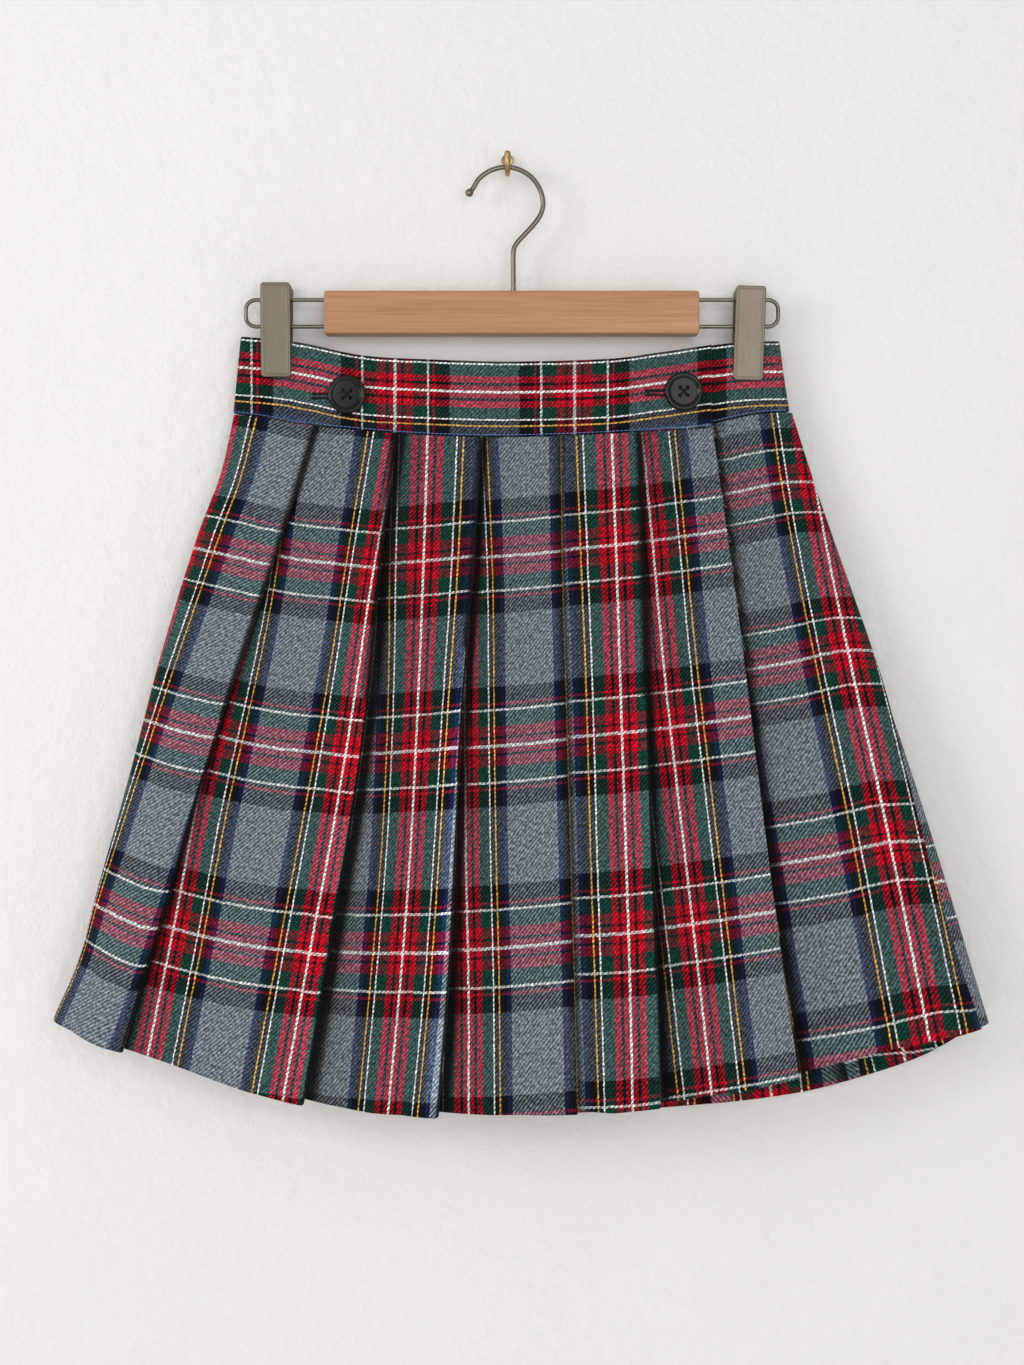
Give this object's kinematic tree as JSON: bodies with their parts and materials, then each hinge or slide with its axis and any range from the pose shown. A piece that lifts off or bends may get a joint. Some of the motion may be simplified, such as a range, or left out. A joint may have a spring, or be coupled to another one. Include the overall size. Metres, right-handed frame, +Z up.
{
  "type": "pleated tartan skirt on a clip hanger",
  "caption": "Short pleated wrap skirt in tartan twill with a buttoned waistband, clipped to a wooden bar hanger that hangs on a wall hook.",
  "frame": {"origin": "centre of the wall hook's flat back face, where it meets the wall", "axes": "+X to the viewer's right along the bar, +Y into the wall, +Z up"},
  "size_m": [0.5546, 0.0626, 0.5798],
  "materials": {
    "tartan": "wool twill, matte, in a traditional red, green, navy and grey check",
    "band_tartan": "the same twill, cut across the grain",
    "button": "gloss",
    "beech": "satin",
    "wire": "satin",
    "clip_nickel": "satin",
    "hook_brass": "satin"
  },
  "bodies": {
    "root": {"apron_over": "tartan", "apron_under": "tartan", "back_panel": "tartan", "waistband_over": "band_tartan", "waistband_under": "band_tartan", "waistband_back": "band_tartan", "button_left": "button", "button_right": "button", "wood_bar": "beech", "wire_loop_left": "wire", "wire_loop_right": "wire", "hanger_hook": "wire", "clip_left_spring": "wire", "clip_right_spring": "wire", "wall_hook": "hook_brass", "clip_left_front": "clip_nickel", "clip_left_back": "clip_nickel", "clip_right_front": "clip_nickel", "clip_right_back": "clip_nickel"}
  },
  "joints": []
}
